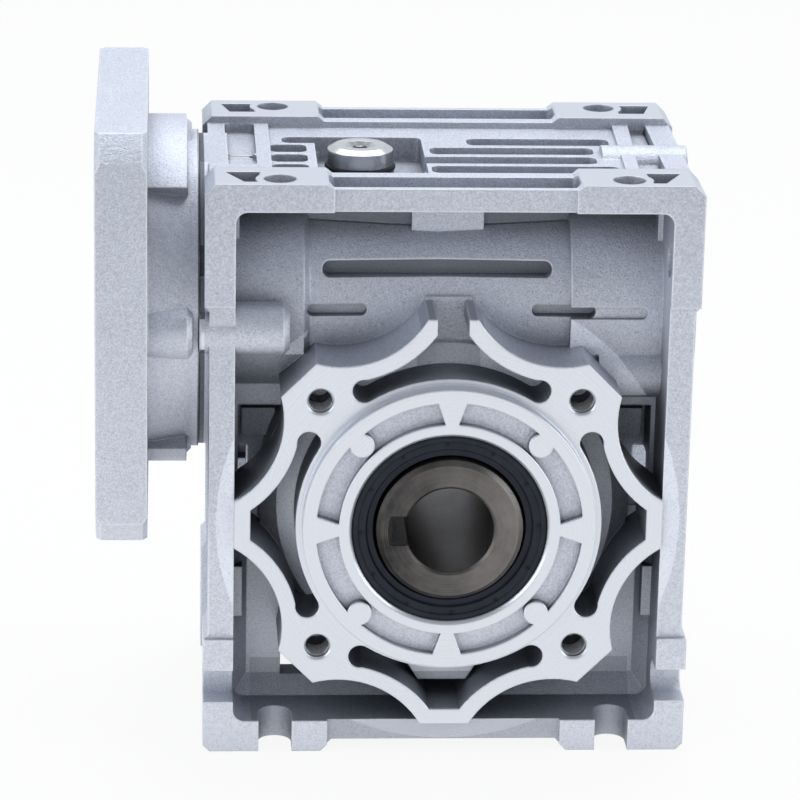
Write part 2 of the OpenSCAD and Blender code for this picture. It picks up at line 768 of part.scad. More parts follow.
module input_flange() {
    chamfer = flange_chamfer;
    boss_len = hub_len - boss_end_gap - chamfer;
    pad_reach = 50 * tan(hub_pad_angle);
    color(cast_grey) translate([0, 0, worm_z]) difference() {
        union() {
            intersection() {
                translate([motor_face_x, -flange_w / 2, -flange_w / 2])
                    cube([plate_t, flange_w, flange_w]);
                union() {
                    cone_x(motor_face_x, chamfer, corner_d / 2 - chamfer, corner_d / 2);
                    rod_x(motor_face_x + chamfer, plate_t - 2 * chamfer, corner_d / 2);
                    cone_x(plate_back_x - chamfer, chamfer, corner_d / 2, corner_d / 2 - chamfer);
                }
            }
            cone_x(plate_back_x, hub_len - hub_turned_len, hub_root_d / 2, hub_end_d / 2);
            rod_x(input_face_x - hub_turned_len, hub_turned_len, hub_end_d / 2);
            mirror_copy([0, 0, 1]) along_x(plate_back_x, boss_len) intersection() {
                circle(flange_boss_place + flange_boss_r);
                polygon([[0, 0], [-pad_reach, 50], [pad_reach, 50]]);
            }
            four_ways([1, 0, 0]) translate([0, flange_boss_place, 0]) {
                rod_x(plate_back_x, boss_len, flange_boss_r);
                cone_x(plate_back_x + boss_len, chamfer, flange_boss_r, flange_boss_r - chamfer);
            }
        }
        rod_x(motor_face_x - 1, motor_pilot_depth + 1, motor_pilot_d / 2);
        rod_x(motor_face_x - 1, screw_floor_x - motor_face_x + 1, flange_bore_d / 2);
        rod_x(motor_face_x, plate_t + hub_len + 1, register_r + running_gap);
        four_ways([1, 0, 0]) translate([0, flange_screw_r, 0]) {
            rod_x(motor_face_x, screw_floor_x - motor_face_x, flange_screw_d * 0.85 + 0.4);
            rod_x(motor_face_x, plate_t + hub_len + 1, flange_screw_d / 2 + 0.25);
        }
        for (side_y = [-1, 1], side_z = [-1, 1])
            translate([0, side_y * motor_hole_pitch / 2, side_z * motor_hole_pitch / 2])
                rod_x(motor_face_x - 1, plate_t + 2, motor_hole_d / 2);
    }
}

module input_flange_screws() {
    color(zinc) translate([0, 0, worm_z]) four_ways([1, 0, 0])
        translate([screw_floor_x, flange_screw_r, 0]) rotate([0, -90, 0])
            cap_screw(flange_screw_d - 0.05, flange_screw_len);
}

// Oil plug

module oil_plug() {
    head_z = plug_seat_z + plug_ring_t;
    head_r = plug_d / 2;
    chamfer_h = plug_chamfer * 0.6;
    socket_mouth = plug_hex_r * 0.4;
    color(zinc) translate([plug_x, 0, head_z]) difference() {
        union() {
            cylinder(h = plug_h - chamfer_h, r = head_r);
            translate([0, 0, plug_h - chamfer_h])
                cylinder(h = chamfer_h, r1 = head_r, r2 = head_r - plug_chamfer);
            translate([0, 0, -plug_shank_len]) cylinder(h = plug_shank_len + 0.1, r = plug_shank_d / 2);
        }
        translate([0, 0, plug_h - plug_hex_depth]) cylinder(h = plug_hex_depth + 1, r = plug_hex_r, $fn = 6);
        translate([0, 0, plug_h - socket_mouth])
            cylinder(h = socket_mouth + 0.01, r1 = plug_hex_r * 0.92, r2 = plug_hex_r + 0.7);
    }
}

module oil_plug_oring() {
    half_t = plug_ring_t / 2;
    outer_r = plug_d / 2 - 0.1;
    inner_r = plug_shank_d / 2 + half_t + 0.5;
    color(black_rubber) translate([plug_x, 0, plug_seat_z + half_t]) rotate_extrude() {
        translate([inner_r, -half_t]) square([outer_r - inner_r, plug_ring_t]);
        for (x = [inner_r, outer_r]) translate([x, 0]) circle(half_t, $fn = 32);
    }
}

// Caps, circlips and seals

module worm_end_cap() {
    color(black_rubber) translate([0, 0, worm_z]) difference() {
        rod_x(end_cap_x, end_cap_w, worm_bearing_d / 2);
        rod_x(end_cap_x - 1, end_cap_w - 0.6, worm_bearing_d / 2 - 2.4);
        difference() {
            rod_x(end_cap_x + end_cap_w - 0.8, 2, worm_bearing_d / 2 - 1.6);
            rod_x(end_cap_x + end_cap_w - 0.8, 2, worm_bearing_d / 2 - 4);
        }
    }
}

// Internal circlip for the worm bore, with its eyes and gap
module circlip(x) {
    outer = worm_bearing_d / 2 + 0.9;
    color(dark_steel) translate([0, 0, worm_z]) along_x(x + 0.02, circlip_t - 0.04) difference() {
        union() {
            difference() {
                circle(outer);
                translate([0, -0.7]) circle(outer - 3);
            }
            for (side = [-1, 1]) translate([side * 4.6, outer - 4.4]) circle(2.2);
        }
        translate([-2.4, 0]) square([4.8, outer + 1]);
        for (side = [-1, 1]) translate([side * 4.6, outer - 4.4]) circle(1);
    }
}

module worm_front_circlip() circlip(front_clip_x);

module worm_rear_circlip() circlip(rear_clip_x);

// Radial lip seal as a ring: case on the outside, stepped face, lip on the shaft
module lip_seal(outer_r, shaft_r, width) {
    lip_r = shaft_r + running_gap;
    web = outer_r - lip_r;
    rotate_extrude() polygon([
        [outer_r, 0.4], [outer_r, width], [outer_r - 1.6, width],
        [outer_r - 1.6, 1.6], [lip_r + 0.3 * web, 1.8], [lip_r + 0.3 * web, width - 1],
        [lip_r + 0.1 * web, width - 1], [lip_r, width - 1.8], [lip_r + 0.12 * web, 0.9],
        [lip_r + 0.36 * web, 0.9], [lip_r + 0.42 * web, 0.3], [lip_r + 0.7 * web, 0.3],
        [lip_r + 0.75 * web, 0], [outer_r - 0.4, 0]]);
}

module output_seal_front() {
    color(black_rubber) translate([0, -seal_y - seal_w, 0]) rotate([-90, 0, 0])
        lip_seal(seal_d / 2, shaft_d / 2, seal_w);
}

module output_seal_back() {
    color(black_rubber) translate([0, seal_y + seal_w, 0]) rotate([90, 0, 0])
        lip_seal(seal_d / 2, shaft_d / 2, seal_w);
}

module input_seal() {
    color(black_rubber) translate([input_seal_x, 0, worm_z]) rotate([0, 90, 0])
        lip_seal(worm_bearing_d / 2, worm_neck_d / 2, input_seal_w);
}

module bearing_shim() {
    color(bearing_steel) rod_y_ring(out_bearing_y + out_bearing_w + 0.1, 0.6,
        out_bearing_d / 2 - 5, out_bearing_d / 2 - 0.1);
}

// Gears and shafts

module hollow_shaft() {
    end_y = shaft_len / 2;
    color(dark_steel) difference() {
        union() {
            rod_y(-end_y + 1, shaft_len - 2, shaft_d / 2);
            mirror_copy([0, 1, 0]) cone_y(-end_y, 1, shaft_d / 2 - 1, shaft_d / 2);
            rod_y(-out_bearing_y + 0.05, 2 * out_bearing_y - 0.1, shaft_d / 2 + 3);
            rod_y(-wheel_width / 2, wheel_width, rim_inner_r);
        }
        rod_y(-end_y - 1, shaft_len + 2, bore_d / 2);
        mirror_copy([0, 1, 0]) cone_y(-end_y - 0.01, 0.6, bore_d / 2 + 0.6, bore_d / 2);
        box(-bore_d / 2 - key_depth, 0, -end_y - 1, end_y + 1, -key_w / 2, key_w / 2);
    }
}

function involute(angle) = tan(angle) * 180 / PI - angle;

base_r = wheel_pitch_r * cos(pressure_angle);

// Half angle of the gap between two wheel teeth at radius r
function gap_half_angle(r) =
    90 / wheel_teeth + tooth_play / 2 / wheel_pitch_r * 180 / PI
    + (r > base_r ? involute(acos(base_r / r)) : 0) - involute(pressure_angle);

function gap_flank(side) = [for (i = [0:7])
    let (r = wheel_root_r + (wheel_outer_r + 0.6 - wheel_root_r) * i / 7, a = gap_half_angle(r))
    [side * r * sin(a), r * cos(a)]];

module tooth_gap() {
    near = gap_flank(-1);
    far = gap_flank(1);
    rotate([0, 0, -lead_angle]) along_y(-wheel_width, 2 * wheel_width)
        polygon(concat(near, [for (i = [7:-1:0]) far[i]]));
}

module worm_wheel_rim() {
    half = wheel_width / 2;
    bevel = 2;
    color(bronze) difference() {
        rotate([90, 0, 0]) rotate_extrude() difference() {
            polygon([[rim_inner_r, -half], [wheel_outer_r - bevel, -half], [wheel_outer_r, bevel - half],
                [wheel_outer_r, half - bevel], [wheel_outer_r - bevel, half], [rim_inner_r, half]]);
            translate([worm_z, 0]) circle(worm_root_r + tip_clearance);
        }
        for (i = [0:wheel_teeth - 1]) rotate([0, i * 360 / wheel_teeth, 0]) tooth_gap();
    }
}

// Worm thread: a trapezoid swept along the helix, running out at both ends
thread_steps = 28;
thread_turns = thread_len / lead;
thread_rings = ceil(thread_turns * thread_steps);
thread_base_r = worm_root_r - 0.4;

function thread_tip(i) = let (ends = min(i, thread_rings - i) / (thread_steps * 0.3))
    thread_base_r + 0.3 + (worm_tip_r - thread_base_r - 0.3) * min(1, ends);

function thread_half(r) = lead / 4 - (r - worm_pitch_d / 2) * tan(pressure_angle);

function thread_ring(i) =
    let (turn = (i - thread_rings / 2) * 360 / thread_steps, x = lead * turn / 360,
        tip = thread_tip(i), a = thread_half(thread_base_r), b = thread_half(tip))
    [for (p = [[-a, thread_base_r], [-b, tip], [b, tip], [a, thread_base_r]])
        [x + p[0], p[1] * sin(turn), -p[1] * cos(turn)]];

module worm_thread() {
    n = thread_rings;
    points = [for (i = [0:n]) each thread_ring(i)];
    faces = concat(
        [[2, 1, 0], [3, 2, 0]],
        [for (i = [0:n - 1], k = [0:3]) let (a = 4 * i + k, b = 4 * i + (k + 1) % 4)
            each [[b + 4, a + 4, a], [b, b + 4, a]]],
        [[4 * n, 4 * n + 1, 4 * n + 2], [4 * n, 4 * n + 2, 4 * n + 3]]);
    polyhedron(points = points, faces = faces, convexity = 10);
}

module worm_shaft() {
    neck_r_in = worm_neck_d / 2;
    tail_r = worm_tail_d / 2;
    thread_half_len = thread_len / 2;
    color(bearing_steel) translate([0, 0, worm_z]) difference() {
        union() {
            rod_x(worm_end_x, front_seat_x - worm_end_x, neck_r_in);
            rod_x(front_seat_x, 4, neck_r_in + worm_shoulder_h);
            cone_x(front_seat_x + 4, -thread_half_len - 3 - front_seat_x - 4, neck_r_in - 2, worm_root_r);
            rod_x(-thread_half_len - 3, thread_len + 6, worm_root_r);
            cone_x(thread_half_len + 3, rear_seat_x - thread_half_len - 6, worm_root_r, tail_r);
            rod_x(rear_seat_x - 3, 3, tail_r + worm_shoulder_h);
            rod_x(rear_seat_x, rear_bearing_w - 1, tail_r);
            cone_x(rear_seat_x + rear_bearing_w - 1, 1, tail_r, tail_r - 1);
            worm_thread();
        }
        rod_x(worm_end_x - 1, input_bore_len + 1, input_bore_d / 2);
        cone_x(worm_end_x - 0.01, 0.6, input_bore_d / 2 + 0.6, input_bore_d / 2);
        translate([worm_end_x - 1, -input_key_w / 2, 0])
            cube([input_bore_len + 1, input_key_w, input_bore_d / 2 + input_key_depth]);
    }
}

// Ball bearings, built along Z with the middle at z = 0

module bearing_ring(inner_r, outer_r, width, pitch_r, ball_r) {
    rotate_extrude() difference() {
        translate([inner_r, -width / 2]) square([outer_r - inner_r, width]);
        translate([pitch_r, 0]) circle(ball_r + running_gap);
    }
}

module cage_ring(pitch_r, ball_r, count, half_w) {
    difference() {
        rotate_extrude() translate([pitch_r - 0.8, -half_w]) square([1.6, 2 * half_w]);
        for (i = [0:count - 1]) rotate(i * 360 / count) rotate([0, 90, 0])
            translate([0, 0, pitch_r - 3]) cylinder(h = 6, r = ball_r + running_gap);
    }
}

module ball_set(pitch_r, ball_r, count) {
    for (i = [0:count - 1]) rotate(i * 360 / count) translate([pitch_r, 0, 0]) sphere(ball_r);
}

// kind: 0 outer ring, 1 inner ring, 2 cage, 3 balls
module bearing_piece(kind, bore, outer, width, ball_d, count) {
    pitch_r = (bore + outer) / 4;
    lip = ball_d * 0.28;
    color(kind == 2 ? zinc : bearing_steel) {
        if (kind == 0) bearing_ring(pitch_r + lip, outer / 2, width, pitch_r, ball_d / 2);
        if (kind == 1) bearing_ring(bore / 2, pitch_r - lip, width, pitch_r, ball_d / 2);
        if (kind == 2) cage_ring(pitch_r, ball_d / 2, count, ball_d * 0.62);
        if (kind == 3) ball_set(pitch_r, ball_d / 2, count);
    }
}

module output_bearing(kind, side) {
    translate([0, side * (out_bearing_y + out_bearing_w / 2), 0]) rotate([90, 0, 0])
        bearing_piece(kind, shaft_d, out_bearing_d, out_bearing_w, out_ball_d, 11);
}

module worm_front_bearing(kind) {
    translate([front_bearing_x + front_bearing_w / 2, 0, worm_z]) rotate([0, 90, 0])
        bearing_piece(kind, worm_neck_d, worm_bearing_d, front_bearing_w, front_ball_d, 12);
}

module worm_rear_bearing(kind) {
    translate([rear_seat_x + rear_bearing_w / 2, 0, worm_z]) rotate([0, 90, 0])
        bearing_piece(kind, worm_tail_d, worm_bearing_d, rear_bearing_w, rear_ball_d, 9);
}

module output_bearing_front_outer_ring() output_bearing(0, -1);
module output_bearing_front_inner_ring() output_bearing(1, -1);
module output_bearing_front_cage() output_bearing(2, -1);
module output_bearing_front_balls() output_bearing(3, -1);
module output_bearing_back_outer_ring() output_bearing(0, 1);
module output_bearing_back_inner_ring() output_bearing(1, 1);
module output_bearing_back_cage() output_bearing(2, 1);
module output_bearing_back_balls() output_bearing(3, 1);
module worm_bearing_front_outer_ring() worm_front_bearing(0);
module worm_bearing_front_inner_ring() worm_front_bearing(1);
module worm_bearing_front_cage() worm_front_bearing(2);
module worm_bearing_front_balls() worm_front_bearing(3);
module worm_bearing_rear_outer_ring() worm_rear_bearing(0);
module worm_bearing_rear_inner_ring() worm_rear_bearing(1);
module worm_bearing_rear_cage() worm_rear_bearing(2);
module worm_bearing_rear_balls() worm_rear_bearing(3);

housing();
side_cover();
side_cover_oring();
side_cover_screws();
input_flange();
input_flange_screws();
oil_plug();
oil_plug_oring();
worm_end_cap();
worm_front_circlip();
worm_rear_circlip();
input_seal();
output_seal_front();
output_seal_back();
bearing_shim();
hollow_shaft();
worm_wheel_rim();
worm_shaft();
output_bearing_front_outer_ring();
output_bearing_front_inner_ring();
output_bearing_front_cage();
output_bearing_front_balls();
output_bearing_back_outer_ring();
output_bearing_back_inner_ring();
output_bearing_back_cage();
output_bearing_back_balls();
worm_bearing_front_outer_ring();
worm_bearing_front_inner_ring();
worm_bearing_front_cage();
worm_bearing_front_balls();
worm_bearing_rear_outer_ring();
worm_bearing_rear_inner_ring();
worm_bearing_rear_cage();
worm_bearing_rear_balls();
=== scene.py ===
import json
import math

import bpy
from mathutils import Matrix, Vector


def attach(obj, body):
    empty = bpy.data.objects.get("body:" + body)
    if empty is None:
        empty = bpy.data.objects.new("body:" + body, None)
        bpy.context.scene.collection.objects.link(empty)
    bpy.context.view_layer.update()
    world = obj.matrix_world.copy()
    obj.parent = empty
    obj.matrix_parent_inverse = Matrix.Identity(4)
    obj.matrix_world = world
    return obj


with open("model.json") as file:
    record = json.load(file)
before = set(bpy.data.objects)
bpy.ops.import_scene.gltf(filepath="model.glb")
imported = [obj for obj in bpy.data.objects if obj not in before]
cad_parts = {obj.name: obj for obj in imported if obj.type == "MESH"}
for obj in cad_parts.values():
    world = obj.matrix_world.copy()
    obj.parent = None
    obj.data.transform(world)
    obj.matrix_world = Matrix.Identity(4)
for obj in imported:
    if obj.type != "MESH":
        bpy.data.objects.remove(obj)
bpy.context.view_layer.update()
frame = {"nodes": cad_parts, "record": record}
mm = 0.001
wormHeight = 40.0  # the worm's axis over the output axis, in millimetres


def deselectAll():
    bpy.ops.object.select_all(action="DESELECT")
    bpy.context.view_layer.objects.active = None


deselectAll()
print("frame loaded:", len(frame["nodes"]), "nodes")


# Shader maths as expressions: a Value wraps an output socket, a Paint one node tree

class Value:
    def __init__(self, paint, socket):
        self.paint = paint
        self.socket = socket

    def math(self, operation, *others):
        return self.paint.node("ShaderNodeMath", {"operation": operation}, [self, *others])

    def __add__(self, other): return self.math("ADD", other)
    def __radd__(self, other): return self.math("ADD", other)
    def __sub__(self, other): return self.math("SUBTRACT", other)
    def __rsub__(self, other): return self.math("MULTIPLY", -1.0).math("ADD", other)
    def __mul__(self, other): return self.math("MULTIPLY", other)
    def __rmul__(self, other): return self.math("MULTIPLY", other)
    def __pow__(self, other): return self.math("POWER", other)
    def __abs__(self): return self.math("ABSOLUTE")
    def __gt__(self, other): return self.math("GREATER_THAN", other)
    def __lt__(self, other): return self.math("LESS_THAN", other)
    def orElse(self, other): return self.math("MAXIMUM", other)
    def clamped(self): return self.math("MAXIMUM", 0.0).math("MINIMUM", 1.0)
    def within(self, span): return (self > span[0]) * (self < span[1])


def radius(across, up):
    return (across * across + up * up) ** 0.5


class Paint:  # of a material or of the world
    def __init__(self, owner):
        self.owner = owner
        owner.use_nodes = True
        self.tree = owner.node_tree
        self.tree.nodes.clear()

    def fill(self, made, pairs):
        for key, value in pairs:
            if isinstance(value, Value):
                self.tree.links.new(value.socket, made.inputs[key])
            else:
                made.inputs[key].default_value = value

    def add(self, kind, settings=None, sockets=None):
        made = self.tree.nodes.new(kind)
        for key, value in (settings or {}).items():
            setattr(made, key, value)
        listed = isinstance(sockets, list)
        self.fill(made, enumerate(sockets) if listed else (sockets or {}).items())
        return made

    def node(self, kind, settings=None, sockets=None, output=0):
        return Value(self, self.add(kind, settings, sockets).outputs[output])

    def parts(self, vector):
        split = self.add("ShaderNodeSeparateXYZ", None, [vector])
        return [Value(self, socket) for socket in split.outputs]

    def spot(self, output="Object"):
        return self.node("ShaderNodeTexCoord", output=output)

    def place(self):  # object coordinates in millimetres
        return [part * 1000.0 for part in self.parts(self.spot())]

    def noise(self, scale, detail=2.0, rough=0.5):
        return self.node("ShaderNodeTexNoise", None, {
            "Vector": self.spot(), "Scale": scale, "Detail": detail, "Roughness": rough})

    def rounded(self, samples, reach):
        return self.node("ShaderNodeBevel", {"samples": samples}, {"Radius": reach})

    def mixColour(self, amount, first, second):
        made = self.add("ShaderNodeMix", {"data_type": "RGBA"})
        self.fill(made, ((0, amount), (6, first), (7, second)))  # the colour mix's own sockets
        return Value(self, made.outputs[2])

    def bump(self, height, strength, distance, normal):
        return self.node("ShaderNodeBump", None, {
            "Height": height, "Strength": strength, "Distance": distance, "Normal": normal})

    def finish(self, sockets):
        surface = self.node("ShaderNodeBsdfPrincipled", None, sockets)
        self.add("ShaderNodeOutputMaterial", None, {"Surface": surface})
        return self.owner


castValues = {
    # colours of the cast skin and its pits, of the painted shade, of cut faces and of the painted
    # edge highlight
    "skin": (0.74, 0.775, 0.855, 1.0), "skinDark": (0.44, 0.47, 0.54, 1.0),
    "pit": (0.25, 0.27, 0.31, 1.0), "paintedShadeColour": (0.085, 0.095, 0.12, 1.0),
    "cut": (0.73, 0.76, 0.82, 1.0), "paintedEdgeHighlight": (0.93, 0.945, 0.97, 1.0),
    "metal": 0.74, "cutMetal": 0.8, "floorMetal": 0.2, "skinRough": 0.5, "cutRough": 0.3,
    "grain": 2900.0, "coarse": 2900.0 / 3.0, "blotch": 60.0, "turned": 5.0,
    "grainShade": 1.8, "coarseShade": 0.7, "blotchShade": 0.3, "shade": 0.68,
    "paintedShadeUpwards": 0.0042,  # painted shade: faces turned front or back get darker upwards, per millimetre
    "pitBelow": 0.4, "pitSlope": 9.0, "pitPatch": 0.42, "patchSlope": 8.0, "pitDark": 0.7,
    "pitDepth": 25.0,  # pits only this near the middle, in millimetres
    "cutShade": 0.75, "cutRings": 0.9, "cutCoarse": 0.3,
    # reach and slopes of the painted shade in corners, then of the painted edge highlight
    "reach": 0.016, "openFrom": 0.66, "openSlope": 1.7, "facing": 0.55,
    "edge": 0.0006, "edgeSlope": 12.0, "edgeOpen": 0.6, "openEdgeSlope": 4.0, "edgeHighlightShare": 0.8,
    "roughCoarse": 0.3, "roughRings": 0.16,
    "bumpGrain": 0.9, "bumpCoarse": 0.7, "bumpRings": 0.12, "bump": 0.85, "bumpReach": 0.00018,
}
windowValues = {  # floors of the windows in the output face, in millimetres; they get painted light
    "ring": (29.5, 47.5), "depth": (22.1, 34.7), "facing": 0.3, "paintedLight": 0.3,
}


def castMaterial(name, cutMask):
    values = castValues
    paint = Paint(bpy.data.materials.new(name))
    x, y, z = paint.place()
    cut, turnedPart, shadow = cutMask(x, y, z)
    skin = 1.0 - cut
    grain = paint.noise(values["grain"], 2.0, 0.6)
    coarse = paint.noise(values["coarse"], 2.0, 0.55)
    blotch = paint.noise(values["blotch"], 3.0, 0.55)
    ring = radius(x, z)
    turned = paint.node("ShaderNodeTexNoise", {"noise_dimensions": "1D"}, {
        "W": ring, "Scale": values["turned"], "Detail": 2.0})
    facing = abs(paint.parts(paint.spot("Normal"))[1]) ** 2.0

    # the window floors get painted light and no painted shade, and are less metallic
    windowFloor = ring.within(windowValues["ring"]) * abs(y).within(windowValues["depth"]) \
        * (facing > windowValues["facing"])
    # random tone of the skin, plus painted shade that darkens faces turned front or back towards
    # the top
    shade = (grain - 0.5) * values["grainShade"] + (coarse - 0.5) * values["coarseShade"] \
        + (blotch - 0.5) * values["blotchShade"] - z * facing * values["paintedShadeUpwards"] + values["shade"]
    shade = (shade + windowFloor * windowValues["paintedLight"]).clamped()
    skinColour = paint.mixColour(shade, values["skinDark"], values["skin"])
    pits = ((values["pitBelow"] - grain) * values["pitSlope"]).clamped() \
        * ((coarse - values["pitPatch"]) * values["patchSlope"]).clamped() \
        * (abs(y) < values["pitDepth"])
    skinColour = paint.mixColour(pits * values["pitDark"], skinColour, values["pit"])

    # painted shade in the hollow corners and recesses, less on faces turned front or back, none on
    # the window floors; the cut mask's painted shadow joins it
    airy = paint.node("ShaderNodeAmbientOcclusion", {"samples": 6}, {"Distance": values["reach"]},
                      "AO")
    paintedShade = ((values["openFrom"] - airy) * values["openSlope"]).clamped() \
        * (1.0 - facing * values["facing"])
    paintedShade = (paintedShade * (1.0 - windowFloor)).orElse(shadow)
    skinColour = paint.mixColour(paintedShade, skinColour, values["paintedShadeColour"])

    # painted highlight along the open edges, where the bevelled normal turns away from the flat one
    soft = paint.rounded(6, values["edge"])
    flat = paint.node("ShaderNodeNewGeometry", output="Normal")
    turnAway = 1.0 - paint.node("ShaderNodeVectorMath", {"operation": "DOT_PRODUCT"},
                                [soft, flat], "Value")
    paintedEdgeHighlight = (turnAway * values["edgeSlope"]).clamped() \
        * ((airy - values["edgeOpen"]) * values["openEdgeSlope"]).clamped()
    skinColour = paint.mixColour(paintedEdgeHighlight * values["edgeHighlightShare"], skinColour, values["paintedEdgeHighlight"])

    cutShade = ((turned - 0.5) * turnedPart * values["cutRings"]
                + (coarse - 0.5) * values["cutCoarse"] + values["cutShade"]).clamped()
    cutColour = paint.mixColour(cutShade, values["skin"], values["cut"])
    colour = paint.mixColour(cut, skinColour, cutColour)
    floorMetal = (values["floorMetal"] - values["metal"]) * windowFloor
    metal = (values["metal"] + floorMetal) * skin + values["cutMetal"] * cut
    rough = values["skinRough"] * skin + values["cutRough"] * cut \
        + (coarse - 0.5) * values["roughCoarse"] * skin \
        + (turned - 0.5) * values["roughRings"] * turnedPart
    height = (grain * values["bumpGrain"] + coarse * values["bumpCoarse"]) * skin \
        + turned * values["bumpRings"] * turnedPart
    normal = paint.bump(height, values["bump"], values["bumpReach"], soft)
    return paint.finish({
        "Base Color": colour, "Metallic": metal, "Roughness": rough, "Normal": normal})


# Masks of a casting, in millimetres: where it is machined, where turned, and where shade is painted
# on it

faceValues = {
    "start": 35.42, "pocketFloor": 38.4, "pocketRing": (22.55, 27.25), "rimEdge": (29.8, 30.2),
    "bolt": 26.52, "sinkRadius": 3.3, "sinkStart": 35.0,
}
housingValues = {
    "padTop": 71.45, "foot": -49.95, "padSide": 49.95, "padSideFrom": -50.6,
    "joint": -49.9, "jointRadius": 33.5, "jointPaintedShadow": 0.9,
}
shadowBoxes = [  # painted shadows: x range, range of the distance from the middle plane, z range, darkness
    ((-26.0, 21.2), (15.6, 16.7), (47.9, 51.3), 0.8),  # long groove of the tube
    ((-30.0, 30.0), (11.2, 12.0), (55.0, 63.0), 0.85),  # under the top rails
    ((-40.0, 40.0), (17.5, 34.5), (-60.0, -36.0), 0.4),  # recess border over the feet
    ((-6.5, 6.5), (21.8, 60.0), (27.0, 46.0), 0.3),  # column between ring and tube
]
flangeValues = {
    "motorFace": -71.75, "boreRadius": 36.6, "boreEnd": -68.7, "joint": -51.3, "jointPaintedShadow": 0.9,
}


def turnedFace(x, y, z):  # machined output face, without its cast pockets
    depth = abs(y)
    ring = radius(x, z)
    pocket = (depth < faceValues["pocketFloor"]) * ring.within(faceValues["pocketRing"])
    face = (depth > faceValues["start"]) * (1.0 - pocket)
    bolt = radius(abs(x) - faceValues["bolt"], abs(z) - faceValues["bolt"])
    sink = (bolt < faceValues["sinkRadius"]) * (depth > faceValues["sinkStart"])
    rimEdge = ring.within(faceValues["rimEdge"])
    return face.orElse(sink), face * (1.0 - rimEdge) * (1.0 - sink)


def housingCut(x, y, z):
    face, rings = turnedFace(x, y, z)
    joint = (x < housingValues["joint"]) \
        * (radius(y, z - wormHeight) < housingValues["jointRadius"])
    padSide = (abs(x) > housingValues["padSide"]) * (x > housingValues["padSideFrom"]) \
        * (1.0 - joint)
    cut = face.orElse(z > housingValues["padTop"]).orElse(z < housingValues["foot"])
    # painted shadow on the joint face to the flange
    shadow = joint * housingValues["jointPaintedShadow"]
    # painted shadows in each box
    for spanX, spanY, spanZ, dark in shadowBoxes:
        inside = x.within(spanX) * abs(y).within(spanY) * z.within(spanZ)
        shadow = shadow.orElse(inside * dark)
    return cut.orElse(padSide), rings, shadow


def coverCut(x, y, z):
    face, rings = turnedFace(x, y, z)
    return face, rings, 0.0 * x


def flangeCut(x, y, z):
    bore = (radius(y, z - wormHeight) < flangeValues["boreRadius"]) * (x < flangeValues["boreEnd"])
    # painted shadow on the joint face to the housing
    joint = (x > flangeValues["joint"]) * flangeValues["jointPaintedShadow"]
    return (x < flangeValues["motorFace"]).orElse(bore), 0.0 * x, joint


steelValues = {
    "marks": 7.0, "stain": 160.0, "markShade": 0.9, "stainShade": 0.8, "shade": -0.4,
    "roughStain": 0.25, "edge": 0.0003, "bumpReach": 0.00008,
    "keyHalf": 3.2, "keyRadius": 12.6, "keywayPaintedShade": 0.9,
}


def turnedSteel(name, along, colours, rough, metal, bumpy, brighterRight=0.0):
    values = steelValues
    paint = Paint(bpy.data.materials.new(name))
    x, y, z = paint.place()
    output = along == "y"
    ring, length = (radius(x, z), y) if output else (radius(y, z - wormHeight), x)
    marks = paint.node("ShaderNodeTexNoise", {"noise_dimensions": "2D"}, {
        "Vector": paint.node("ShaderNodeCombineXYZ", None, [ring, length, 0.0]),
        "Scale": values["marks"], "Detail": 3.0})
    stain = paint.noise(values["stain"], 4.0, 0.6)
    dark = (marks * values["markShade"] + stain * values["stainShade"] + values["shade"]
            + x * brighterRight).clamped()  # brighter towards the right, per millimetre
    if output:
        # painted shade in the keyway slot of the bore
        keyway = (x < 0.0) * (abs(z) < values["keyHalf"]) * (ring < values["keyRadius"])
        dark = dark * (1.0 - keyway * values["keywayPaintedShade"])
    colour = paint.mixColour(dark, colours[0], colours[1])
    normal = paint.bump(marks, bumpy, values["bumpReach"], paint.rounded(4, values["edge"]))
    return paint.finish({
        "Base Color": colour, "Metallic": metal,
        "Roughness": rough + (stain - 0.5) * values["roughStain"], "Normal": normal})


plainValues = {
    "cloud": 1.0 / 14.0, "speckShade": 0.5, "shade": -0.25, "roughCloud": 0.2,
    "edge": 0.00025, "bump": 0.15, "bumpReach": 0.00005,
}


def plainMetal(name, colours, rough, grain, metal=0.95):
    values = plainValues
    paint = Paint(bpy.data.materials.new(name))
    speck = paint.noise(grain, 3.0, 0.6)
    cloud = paint.noise(grain * values["cloud"], 3.0, 0.5)
    shade = (speck * values["speckShade"] + cloud + values["shade"]).clamped()
    colour = paint.mixColour(shade, colours[0], colours[1])
    soft = paint.rounded(4, values["edge"])
    normal = paint.bump(speck, values["bump"], values["bumpReach"], soft)
    return paint.finish({
        "Base Color": colour, "Metallic": metal,
        "Roughness": rough + (cloud - 0.5) * values["roughCloud"], "Normal": normal})


rubberValues = {
    "fine": 2200.0, "dust": 240.0, "dustSlope": 1.6, "dustShade": -0.45,
    "clean": (0.008, 0.010, 0.017, 1.0), "dusty": (0.022, 0.025, 0.036, 1.0),
    "rough": 0.46, "roughDust": 0.3, "specular": 0.22,
    "edge": 0.0003, "bump": 0.3, "bumpReach": 0.00006,
}
dotValues = {  # vent marks moulded in the output seals, in millimetres and steps of the ring
    "ring": 18.2, "size": 0.5, "count": 12, "phase": 0.42, "start": 25.0,
    "colour": (0.003, 0.0035, 0.005, 1.0), "dark": 0.9, "depth": 3.0,
}


